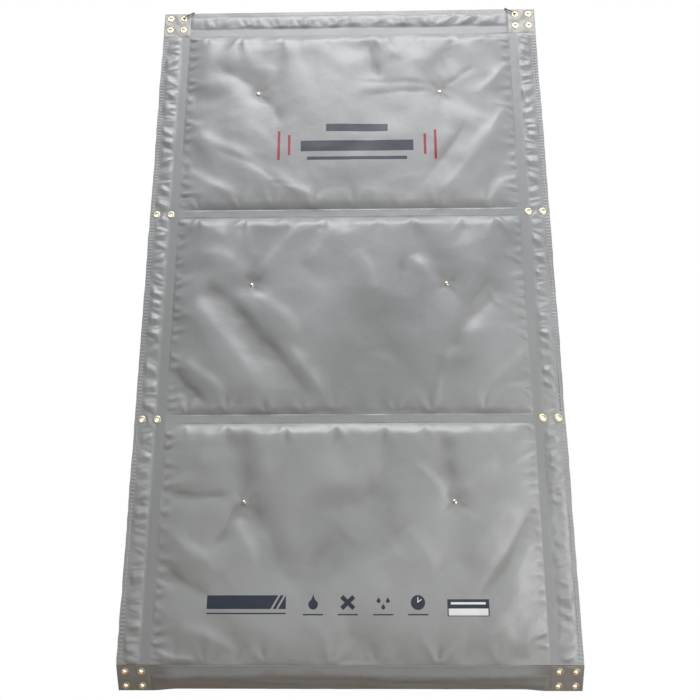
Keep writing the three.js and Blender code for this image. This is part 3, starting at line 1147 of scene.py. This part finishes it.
# soil gives the two places down the hem between which grime grows, and its first and last share
def fabricFinish(name, grey, roughness, prints=None, soil=None):
    finish = Finish(name, Metallic=0.0, Specular_IOR_Level=0.5)
    spot = finish.place()
    cloudy = finish.noise(spot, 3.2, 4.0)
    patchy = finish.noise(spot, 11.0, 5.0, 0.62)
    streaky = finish.noise(spot, 26.0, 4.0, 0.6, stretch=(1, 1, 0.16))
    speck = finish.noise(spot, 420.0, 2.0)
    valley = finish.field("valley")
    hollow = finish.field("hollow")
    height = finish.along(spot, "Z")
    lower = height.ramp(cadHigh.z - 0.4, cadLow.z + 0.1)
    colour = finish.mix(lower, grey, fabricLook["lowGrey"])
    for amount, tone in (
        (cloudy.ramp(0.38, 0.66, 0.0, 0.34), "pale"),
        (patchy.ramp(0.50, 0.78, 0.0, 0.10), "grimeAndShade"),
        (streaky.ramp(0.56, 0.80, 0.0, 0.09), "grimeAndShade"),
        (speck.ramp(0.62, 0.74, 0.0, 0.10), "grimeAndShade"),
        # painted shade in the broad fold hollows and painted light on the fold crests
        (hollow.ramp(0.0, 0.9, 0.0, 0.26), "shade"),
        (hollow.ramp(0.0, -0.9, 0.0, 0.20), "pale"),
        # painted shade in the creases and painted highlights on the crests
        (valley.ramp(0.10, 1.0, 0.0, 0.30), "grimeAndShade"),
        (valley.ramp(-0.15, -1.0, 0.0, 0.26), "pale"),
        (finish.field("pressed") * 0.6, "pressed"),
    ):
        colour = finish.mix(amount, colour, fabricLook[tone])
    if soil is not None:
        down = finish.field("down")
        ragged = down + (cloudy - 0.5) * 0.045 + (patchy - 0.5) * 0.03 + (streaky - 0.5) * 0.02
        colour = finish.mix(ragged.ramp(*soil), colour, fabricLook["grimeAndShade"])
    rough = roughness + (cloudy - 0.5) * 0.16 + (patchy - 0.5) * 0.10 + valley.ramp(0.2, 1.0, 0.0, 0.08)
    if prints is not None:
        front = finish.along(spot, "Y").below(fabricFront + 0.001)
        for shape, ink in prints(finish.along(spot, "X"), height):
            mask = (shape * front).ramp(0.0, 1.0)
            colour = finish.mix(mask * 0.97, colour, ink)
            rough = rough + mask * 0.04
    fine = finish.bump(weave(finish, fabricLook["weavePitch"]), fabricLook["weaveDepth"], 0.8)
    grain = finish.bump(finish.noise(spot, 900.0, 2.0), 0.00012, 0.5, fine)
    crumple = finish.bump(finish.noise(spot, 22.0, 4.0, 0.6), 0.0020, 0.5, grain)
    return finish.feed(Base_Color=colour, Roughness=rough.ramp(0.2, 0.8, 0.2, 0.8), Normal=crumple)


# Printed marks are plain shapes, as masks that fade over a quarter of a millimetre each way
inkFade = 0.00025


def joined(shapes):
    whole = shapes[0]
    for shape in shapes[1:]:
        whole = whole.most(shape)
    return whole


def plate(x, z, middleX, middleZ, width, height):
    gap = (abs(x - middleX) - width / 2).most(abs(z - middleZ) - height / 2)
    return gap.ramp(inkFade, -inkFade)


def disc(x, z, middleX, middleZ, radius):
    away = ((x - middleX) ** 2 + (z - middleZ) ** 2) ** 0.5
    return (away - radius).ramp(inkFade, -inkFade)


# A drop with its point up: a disc under a narrowing neck
def drop(x, z, middleX, middleZ, radius):
    above = z - middleZ
    width = (1 - above / (2.3 * radius)).most(0.0) ** 1.5 * radius
    neck = (abs(x - middleX) - width).ramp(0.0, -0.0005) * above.ramp(-0.0001, 0.0001)
    return disc(x, z, middleX, middleZ, radius).most(neck)


# A plate turned anticlockwise
def tilted(x, z, middleX, middleZ, turn, length, width):
    along = (x - middleX) * math.cos(turn) + (z - middleZ) * math.sin(turn)
    off = (z - middleZ) * math.cos(turn) - (x - middleX) * math.sin(turn)
    gap = (abs(along) - length / 2).most(abs(off) - width / 2)
    return gap.ramp(inkFade, -inkFade)


# Depths are below the pocket's upper edge; bars give rise, width and height
topPrint = {
    "middle": 0.025,
    "depth": 0.410,
    "bars": ((0.0, 0.345, 0.036), (0.062, 0.190, 0.026), (-0.042, 0.305, 0.011)),
    "strokeReach": 0.208,
    "strokeGap": 0.032,
    "strokeRise": 0.004,
    "strokeWidth": 0.008,
    "strokeHeights": (0.070, 0.100),
}


def topMarks(x, z):
    look = topPrint
    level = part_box("top_pocket")[1].z - look["depth"]
    bars = [plate(x, z, look["middle"], level + up, *size) for up, *size in look["bars"]]
    yield joined(bars), fabricLook["navy"]
    strokes = []
    for side in (-1, 1):
        for number, height in enumerate(look["strokeHeights"]):
            across = look["middle"] + side * (look["strokeReach"] + look["strokeGap"] * number)
            strokes.append(plate(x, z, across, level + look["strokeRise"], look["strokeWidth"], height))
    yield joined(strokes), fabricLook["red"]


bottomPrint = {
    "depth": 0.474,
    "block": (-0.267, 0.206, 0.034),
    "stripes": (0.076, 0.090),
    "stripe": (1.05, 0.05, 0.005),
    "signs": (-0.093, -0.003, 0.089, 0.179),
    "signLine": (0.031, 0.052, 0.0035),
    "drop": 0.0125,
    "cross": (0.043, 0.011),
    "smallDrops": ((-0.012, 0.003), (0.012, 0.003), (0.0, -0.013)),
    "smallDrop": 0.0052,
    "clock": 0.0185,
    "clockHand": (0.013, 0.0022),
    "label": (0.309, 0.108, 0.042),
}


# A striped block, four signs with a line under each, and a dark plate with two pale panels
def bottomMarks(x, z):
    look = bottomPrint
    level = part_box("bottom_pocket")[1].z - look["depth"]
    blockX, blockWidth, blockHeight = look["block"]
    stripes = joined([tilted(x, z, blockX + off, level, *look["stripe"]) for off in look["stripes"]])
    shapes = [plate(x, z, blockX, level, blockWidth, blockHeight) * (1 - stripes)]
    dropX, crossX, smallDropsX, clockX = look["signs"]
    shapes.append(drop(x, z, dropX, level - 0.006, look["drop"]))
    for turn in (0.75, -0.75):
        shapes.append(tilted(x, z, crossX, level - 0.001, turn, *look["cross"]))
    for offX, offZ in look["smallDrops"]:
        shapes.append(drop(x, z, smallDropsX + offX, level + offZ, look["smallDrop"]))
    shapes.append(disc(x, z, clockX, level - 0.001, look["clock"]))
    lineDepth, lineWidth, lineHeight = look["signLine"]
    for sign in look["signs"]:
        shapes.append(plate(x, z, sign, level - lineDepth, lineWidth, lineHeight))
    shapes.append(plate(x, z, blockX, level - 0.028, blockWidth, lineHeight))
    labelX, labelWidth, labelHeight = look["label"]
    shapes.append(plate(x, z, labelX, level - 0.014, labelWidth, labelHeight))
    yield joined(shapes), fabricLook["navy"]
    handLength, handWidth = look["clockHand"]
    pale = [
        tilted(x, z, clockX + 0.004, level + 0.003, 0.6, handLength, handWidth),
        plate(x, z, clockX, level + 0.006, handWidth, handLength),
        plate(x, z, labelX, level - 0.0245, labelWidth - 0.006, 0.017),
        plate(x, z, labelX, level - 0.003, labelWidth - 0.018, 0.0055),
    ]
    yield joined(pale), fabricLook["white"]


metalLook = {
    "eyelet": {"colour": (0.90, 0.81, 0.52, 1), "dull": (0.50, 0.36, 0.20, 1), "roughness": 0.40},
    "rivet": {"colour": (0.82, 0.76, 0.58, 1), "dull": (0.42, 0.34, 0.22, 1), "roughness": 0.22},
    "dullFrom": (padBottom + 0.3, padBottom - 0.1),
}

cordLook = {
    "thread": {"colour": (0.23, 0.23, 0.235, 1), "pale": (0.60, 0.605, 0.60, 1), "pitch": 0.0016},
    "tie": {"colour": (0.008, 0.008, 0.009, 1), "pale": (0.035, 0.035, 0.037, 1), "pitch": 0.0024},
}


# dullFrom gives the two heights between which the metal grows dull
def metalFinish(name, colour, dull, roughness, dullFrom=None):
    finish = Finish(name, Metallic=1.0)
    spot = finish.place()
    patchy = finish.noise(spot, 160.0, 4.0, 0.6)
    fine = finish.noise(spot, 900.0, 2.0)
    worn = patchy.ramp(0.45, 0.72, 0.0, 0.35)
    if dullFrom is not None:
        worn = worn.most(finish.along(spot, "Z").ramp(*dullFrom, 0.0, 0.7))
    tone = finish.mix(worn, colour, dull)
    rough = roughness + patchy * 0.12 + worn * 0.14
    return finish.feed(Base_Color=tone, Roughness=rough, Normal=finish.bump(fine, 0.00006, 0.4))


def cordFinish(name, colour, pale, pitch):
    finish = Finish(name, Metallic=0.0, Specular_IOR_Level=0.4)
    spot = finish.place("UV")
    along, around = finish.along(spot, "X"), finish.along(spot, "Y")
    left = ((along + around) * (2 * math.pi / pitch)).sine()
    right = ((along - around) * (2 * math.pi / pitch)).sine()
    braid = left * right * 0.5 + 0.5
    # painted shade in the grooves between the braid's strands, with the strand tops left pale
    tone = finish.mix(braid.ramp(0.0, 0.5, 0.5, 0.0), pale, colour)
    rough = 0.55 + braid * 0.12
    return finish.feed(Base_Color=tone, Roughness=rough, Normal=finish.bump(braid, 0.0002, 0.8))


grey, rough = fabricLook["grey"], fabricLook["roughness"]
coated = fabricFinish("coated_fabric_grey", grey, rough)
middleGrey = fabricFinish("coated_fabric_middle", fabricLook["middleGrey"], rough)
topPrinted = fabricFinish("coated_fabric_top_print", grey, rough, prints=topMarks)
bottomPrinted = fabricFinish("coated_fabric_bottom_print", grey, rough, prints=bottomMarks)
weldedGrey = fabricFinish("welded_fabric_grey", fabricLook["weldedGrey"], fabricLook["weldedRoughness"])
cornerWorn = fabricFinish("corner_fabric_worn", fabricLook["worn"], fabricLook["wornRoughness"])
hemSoiled = fabricFinish(
    "hem_fabric_soiled",
    grey,
    fabricLook["hemRoughness"],
    soil=fabricLook["hemSoil"],
)
cornerSoiled = fabricFinish(
    "corner_fabric_soiled",
    fabricLook["lowWorn"],
    fabricLook["lowWornRoughness"],
    soil=fabricLook["cornerSoil"],
)
brass = metalFinish("eyelet_brass", **metalLook["eyelet"], dullFrom=metalLook["dullFrom"])
rivetMetal = metalFinish("rivet_brass", **metalLook["rivet"])
thread = cordFinish("stitch_thread", **cordLook["thread"])
cord = cordFinish("black_cord", **cordLook["tie"])


def dress(piece, material):
    piece.data.materials.clear()
    piece.data.materials.append(material)


dress(pockets["top_pocket"], topPrinted)
dress(pockets["middle_pocket"], middleGrey)
dress(pockets["bottom_pocket"], bottomPrinted)
for flap in flaps.values():
    dress(flap, coated)
dress(topHem, coated)
dress(bottomHem, hemSoiled)
for strip in strips.values():
    dress(strip, weldedGrey)
for name, patch in corners.items():
    dress(patch, cornerWorn if name.startswith("top") else cornerSoiled)
print("Fabric dressed")


# Eyelets: rolled brass rings, the same on both faces
eyeletLook = {
    "turns": 40,
    "outer": 0.0110,
    "hole": 0.0060,
    "barrel": 0.0070,
    "height": 0.0016,
    "seat": 0.0002,
    "roll": 0.0009,
}


# The profile out over the front face, then the same one back over the other face
def onBothFaces(profile):
    return [(radius, -height) for radius, height in profile] + profile[::-1]


def eyeletProfile():
    look = eyeletLook
    half = (fabricBack - fabricFront) / 2 + look["seat"]
    crest = half + look["height"]
    hole, outer, roll = look["hole"], look["outer"], look["roll"]
    ring = [
        (hole, crest - roll),
        (hole + 0.25 * roll, crest - 0.45 * roll),
        (hole + 0.8 * roll, crest - 0.1 * roll),
        (hole + 1.5 * roll, crest),
        (outer - 2.2 * roll, crest - 0.1 * roll),
        (outer - 0.9 * roll, crest - 0.45 * roll),
        (outer - 0.2 * roll, half + 0.5 * roll),
        (outer, half + 0.15 * roll),
        (outer - 0.2 * roll, half),
        (look["barrel"], half),
    ]
    return onBothFaces(ring)


eyeletNodes = [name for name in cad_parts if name.endswith("_eyelet")]
eyeletPlaces = [middleOf(name) for name in eyeletNodes]
eyeletLeans = [hemLean if name.startswith("bottom_") else 0.0 for name in eyeletNodes]
eyeletForm = faceOutwards(latheObject("eyelet_form", eyeletProfile(), eyeletLook["turns"]))
atPlaces = placedForms()
eyelets = growPiece(
    "brass_eyelets",
    pointMesh("eyelet_places", eyeletPlaces, eyeletLeans),
    atPlaces,
    {"Form": eyeletForm, "Most Spin": 6.0, "Seed": 5, "Finish": brass},
)
bpy.data.objects.remove(eyeletForm)
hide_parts(*eyeletNodes)
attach(eyelets, "root")
print("Eyelets placed:", len(eyeletNodes))


# Quilting rivets, domed on both faces
rivetLook = {
    "turns": 28,
    "head": 0.0060,
    "height": 0.0023,
    "shank": 0.0020,
    "seat": 0.0048,
    "rim": 0.0003,
    "steps": 6,
}


def rivetProfile():
    look = rivetLook
    seat, height, rim = look["seat"], look["height"], look["rim"]
    dome = [(0.0, seat + height)]
    for step in range(1, look["steps"] + 1):
        angle = step / look["steps"] * math.pi / 2
        dome.append((look["head"] * math.sin(angle), seat + rim + (height - rim) * math.cos(angle)))
    dome += [(look["head"] - 0.0001, seat), (look["shank"], seat)]
    return onBothFaces(dome)


rivetNodes = [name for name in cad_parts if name.endswith("_rivet")]
rivetForm = faceOutwards(latheObject("rivet_form", rivetProfile(), rivetLook["turns"]))
rivets = growPiece(
    "quilting_rivets",
    pointMesh("rivet_places", [middleOf(name) for name in rivetNodes], [0.0] * len(rivetNodes)),
    atPlaces,
    {"Form": rivetForm, "Most Spin": 6.0, "Seed": 9, "Finish": rivetMetal},
)
bpy.data.objects.remove(rivetForm)
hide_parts(*rivetNodes)
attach(rivets, "root")
print("Rivets placed:", len(rivetNodes))


# One stitch: a six-sided length of thread with drawn-in ends, a little flattened
def stitchForm():
    look = stitchLook
    points, faces = [], []
    rings = [(-0.5, 0.35), (-0.36, 0.9), (0.0, 1.0), (0.36, 0.9), (0.5, 0.35)]
    for along, fat in rings:
        for k in range(6):
            angle = k * math.pi / 3
            x = look["radius"] * fat * math.cos(angle)
            y = look["radius"] * (fat * math.sin(angle) * 0.8)
            points.append((x, y, look["length"] * along))
    for ring in range(len(rings) - 1):
        for k in range(6):
            a, b = ring * 6 + k, ring * 6 + (k + 1) % 6
            faces.append([a, b, b + 6, a + 6])
    faces.append([5, 4, 3, 2, 1, 0])
    last = (len(rings) - 1) * 6
    faces.append([last + k for k in range(6)])
    mesh = bpy.data.meshes.new("stitch_form")
    mesh.from_pydata(points, [], faces)
    mesh.update()
    mesh.shade_smooth()
    return sceneObject("stitch_form", mesh)


# One straight row down each edge on each face
def stitchRows():
    look = stitchLook
    points, edges = [], []
    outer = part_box("right_flap")[1].x + joinGap - flapLook["stitchLine"]
    for side in (-1, 1):
        for level in (fabricFront + 0.0005, fabricBack - 0.0005):
            for z in (padBottom + look["ends"], padTop - look["ends"]):
                points.append((side * outer, level, z))
            edges.append((len(points) - 2, len(points) - 1))
    mesh = bpy.data.meshes.new("stitch_rows")
    mesh.from_pydata(points, edges, [])
    return mesh


oneStitch = faceOutwards(stitchForm())
stitchFaces = len(oneStitch.data.polygons)
stitches = growPiece(
    "edge_stitches",
    stitchRows(),
    formsAlongRows(),
    {
        "Form": oneStitch,
        "Pitch": stitchLook["pitch"],
        "Wobble": stitchLook["wobble"],
        "Seed": 3,
        "Finish": thread,
    },
)
bpy.data.objects.remove(oneStitch)
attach(stitches, "root")
print("Stitches sewn:", len(stitches.data.polygons) // stitchFaces)


# Hanging ties: black cord through the inner upper eyelets and over the top edge
tieLook = {
    "radius": 0.0016,
    "run": 0.030,
    "slack": 0.0025,
    "flange": 0.0019,
    "near": (0.005, 0.003),
    "steps": 120,
    "turns": 14,
}


# A closed smooth line through the given points
def closedCurve(points, steps):
    places = [np.array(point, float) for point in points]
    count = len(places)
    line = []
    for step in range(steps):
        t = step / steps * count
        k = int(t)
        u = t - k
        a, b, c, d = (places[(k + shift) % count] for shift in (-1, 0, 1, 2))
        square = 2 * a - 5 * b + 4 * c - d
        cube = 3 * b - a - 3 * c + d
        line.append(0.5 * (2 * b + (c - a) * u + square * u**2 + cube * u**3))
    return np.array(line)


def tieObject(prefix, side):
    look = tieLook
    spot = middleOf(f"top_{prefix}_inner_high_eyelet")
    topEdge = hemTopEdge - joinGap
    middle = (fabricFront + fabricBack) / 2
    crossX = spot.x - side * look["run"]
    nearX, nearZ = spot.x - side * look["near"][0], look["near"][1]
    front = fabricFront - look["flange"] - 2 * look["radius"]
    back = fabricBack + look["flange"] + 2 * look["radius"]
    clear = (fabricBack - fabricFront) / 2 + look["slack"] + look["radius"]
    halfX, halfZ = (nearX + crossX) / 2, (nearZ + topEdge) / 2
    route = closedCurve(
        [
            (spot.x, middle, 0),
            (nearX, front, nearZ),
            (halfX, front, halfZ),
            (crossX, middle - clear, topEdge),
            (crossX, middle, topEdge + clear),
            (crossX, middle + clear, topEdge),
            (halfX, back, halfZ),
            (nearX, back, nearZ),
        ],
        look["steps"],
    )
    tangents = np.roll(route, -1, 0) - np.roll(route, 1, 0)
    tangents /= np.linalg.norm(tangents, axis=1)[:, None]
    # the sides of the section follow the plane that the loop lies in
    plane = np.cross(route - route.mean(0), tangents).sum(0)
    plane /= np.linalg.norm(plane)
    firstAxis = plane - tangents * (tangents @ plane)[:, None]
    firstAxis /= np.linalg.norm(firstAxis, axis=1)[:, None]
    secondAxis = np.cross(tangents, firstAxis)
    angles = (np.arange(look["turns"]) * 2 * math.pi / look["turns"])[None, :, None]
    section = np.cos(angles) * firstAxis[:, None] + np.sin(angles) * secondAxis[:, None]
    rings = route[:, None] + look["radius"] * section
    index = np.arange(look["steps"] * look["turns"]).reshape(look["steps"], look["turns"])
    nextRing, nextSide = np.roll(index, -1, 0), np.roll(index, -1, 1)
    faces = np.stack([index, nextRing, np.roll(nextRing, -1, 1), nextSide], -1).reshape(-1, 4)
    name = f"{prefix}_tie_cord"
    mesh = bpy.data.meshes.new(name)
    mesh.from_pydata(rings.reshape(-1, 3).tolist(), [], faces.tolist())
    mesh.update()
    mesh.shade_smooth()
    length = np.linalg.norm(np.roll(route, -1, 0) - route, axis=1).sum()
    layer = mesh.uv_layers.new(name="cut")
    along = np.repeat(np.arange(look["steps"]), look["turns"])
    around = np.tile(np.arange(look["turns"]), look["steps"])
    spotU = along[:, None] + np.array([0, 1, 1, 0])
    spotV = around[:, None] + np.array([0, 0, 1, 1])
    spotU = spotU * length / look["steps"]
    spotV = spotV * 2 * math.pi * look["radius"] / look["turns"]
    stretch = np.stack([spotU, spotV], -1)
    layer.data.foreach_set("uv", stretch.astype(np.float32).reshape(-1))
    return faceOutwards(sceneObject(name, mesh))


for prefix, side in sides.items():
    tie = tieObject(prefix, side)
    dress(tie, cord)
    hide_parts(f"{prefix}_hanging_tie")
    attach(tie, "root")
print("Ties made")


# Stage, light and camera
stageLook = {
    "floorDrop": 0.35,
    "floorSize": 30.0,
    "floorBounce": (0.30, 0.26, 0.21, 1),
    "floorRoughness": 0.9,
    "worldLight": (0.80, 0.86, 0.95, 1),
    "worldStrength": 0.26,
    "key": ((0.1, -3.2, 4.0), 4.2, 385.0),  # place, size and power
    "fill": ((2.1, -1.8, -1.9), 1.6, 44.0),
    "rear": ((-0.8, 3.6, 1.6), 3.4, 210.0),
}


# White where the camera sees it, while the other shader lights the blanket
def whiteToCamera(tree, whiteKind, other):
    path = tree.nodes.new("ShaderNodeLightPath")
    white = tree.nodes.new(whiteKind)
    white.inputs["Color"].default_value = (1, 1, 1, 1)
    white.inputs["Strength"].default_value = 1.0
    choose = tree.nodes.new("ShaderNodeMixShader")
    tree.links.new(path.outputs["Is Camera Ray"], choose.inputs[0])
    tree.links.new(other, choose.inputs[1])
    tree.links.new(white.outputs[0], choose.inputs[2])
    return choose.outputs[0]


scene = bpy.context.scene
scene.view_settings.view_transform = "Standard"
world = bpy.data.worlds.new("studio")
scene.world = world
world.use_nodes = True
sky = world.node_tree.nodes["Background"]
sky.inputs["Color"].default_value = stageLook["worldLight"]
sky.inputs["Strength"].default_value = stageLook["worldStrength"]
seenSky = whiteToCamera(world.node_tree, "ShaderNodeBackground", sky.outputs[0])
world.node_tree.links.new(seenSky, world.node_tree.nodes["World Output"].inputs["Surface"])

floorMaterial = bpy.data.materials.new("pale_floor")
floorMaterial.use_nodes = True
floorTree = floorMaterial.node_tree
floorShader = next(n for n in floorTree.nodes if n.type == "BSDF_PRINCIPLED")
floorShader.inputs["Base Color"].default_value = stageLook["floorBounce"]
floorShader.inputs["Roughness"].default_value = stageLook["floorRoughness"]
seenFloor = whiteToCamera(floorTree, "ShaderNodeEmission", floorShader.outputs[0])
floorTree.links.new(seenFloor, floorTree.nodes["Material Output"].inputs["Surface"])
half = stageLook["floorSize"] / 2
floorLevel = cadLow.z - stageLook["floorDrop"]
floorCorners = [(x * half, y * half, floorLevel) for x, y in ((-1, -1), (1, -1), (1, 1), (-1, 1))]
floorMesh = bpy.data.meshes.new("floor")
floorMesh.from_pydata(floorCorners, [], [(0, 1, 2, 3)])
floor = sceneObject("floor", floorMesh)
floorMesh.materials.append(floorMaterial)
floor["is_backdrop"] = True


def softLight(name, place, size, power):
    lamp = bpy.data.lights.new(name, "AREA")
    lamp.shape = "DISK"
    lamp.size = size
    lamp.energy = power
    light = sceneObject(name, lamp)
    light.location = place
    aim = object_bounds()[0].lerp(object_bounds()[1], 0.5) - light.location
    light.rotation_euler = aim.to_track_quat("-Z", "Y").to_euler()


for name in ("key", "fill", "rear"):
    softLight(name, *stageLook[name])

cameraLook = {
    "place": (0.0469, -2.2066, -1.7732),
    "pitch": 16.326,
    "roll": 0.035,
    "turn": 1.152,
    "lens": 41.38,
    "sensor": 36,
    "nearest": 0.05,
}

lensData = bpy.data.cameras.new("camera")
lensData.lens = cameraLook["lens"]
lensData.sensor_width = cameraLook["sensor"]
lensData.clip_start = cameraLook["nearest"]
camera = sceneObject("camera", lensData)
camera.location = cameraLook["place"]
turns = (90 + cameraLook["pitch"], cameraLook["roll"], cameraLook["turn"])
camera.rotation_euler = [math.radians(turn) for turn in turns]
scene.camera = camera
print("Stage, light and camera set")
